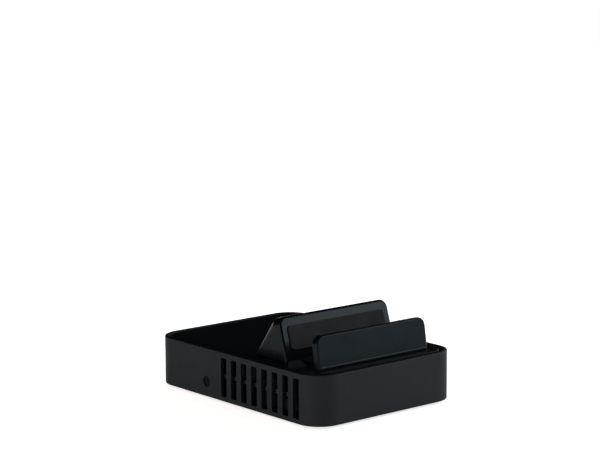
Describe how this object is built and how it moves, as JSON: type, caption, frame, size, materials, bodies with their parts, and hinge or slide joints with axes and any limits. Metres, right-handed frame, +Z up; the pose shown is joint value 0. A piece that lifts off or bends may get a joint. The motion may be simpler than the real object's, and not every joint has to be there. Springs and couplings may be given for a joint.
{
  "type": "console stand",
  "caption": "Low vented stand for a handheld console: a box on rubber feet with a front lip, a sloping seat with a plug, a backrest and rear sockets.",
  "frame": {"origin": "on the resting surface under the middle of the housing", "axes": "+X right along the front, +Y from the front to the rear, +Z up"},
  "size_m": [0.072, 0.1, 0.0367],
  "materials": {
    "housing_plastic": "fine textured black plastic",
    "lid_plastic": "satin black plastic",
    "soft_pad": "soft black pad",
    "foot_rubber": "matt black rubber",
    "screw_steel": "zinc plated steel",
    "board_laminate": "dark solder mask on laminate",
    "carrier_plastic": "moulded black plastic",
    "socket_steel": "plated pressed steel",
    "contact_plastic": "black insulator",
    "ribbon_film": "amber film",
    "pale_plastic": "pale moulded plastic",
    "chip_resin": "black moulded resin",
    "sink_aluminium": "plain aluminium",
    "ferrite": "grey pressed ferrite",
    "capacitor_sleeve": "dark sleeves",
    "ceramic_chip": "tan ceramic",
    "lamp_resin": "clear lamp resin",
    "guide_plastic": "smoked plastic"
  },
  "bodies": {
    "root": {"housing": "housing_plastic", "side_grilles": "housing_plastic", "cradle_lid": "lid_plastic", "lip_pad": "soft_pad", "backrest_pad": "soft_pad", "rubber_feet": "foot_rubber", "lid_screws": "screw_steel", "circuit_board": "board_laminate", "board_screws": "screw_steel", "plug_carrier": "carrier_plastic", "plug_shell": "socket_steel", "plug_insert": "contact_plastic", "plug_board": "board_laminate", "plug_screws": "screw_steel", "plug_ribbon": "ribbon_film", "ribbon_socket": "pale_plastic", "video_socket_shell": "socket_steel", "video_socket_tongue": "contact_plastic", "data_socket_shell": "socket_steel", "data_socket_tongue": "contact_plastic", "power_inlet_shell": "socket_steel", "power_inlet_tongue": "contact_plastic", "video_chip": "chip_resin", "heat_sink": "sink_aluminium", "hub_chip": "chip_resin", "power_chip": "chip_resin", "inductors": "ferrite", "tall_capacitors": "capacitor_sleeve", "flat_capacitors": "ceramic_chip", "crystal": "socket_steel", "indicator_lamp": "lamp_resin", "light_guide": "guide_plastic"}
  },
  "joints": []
}
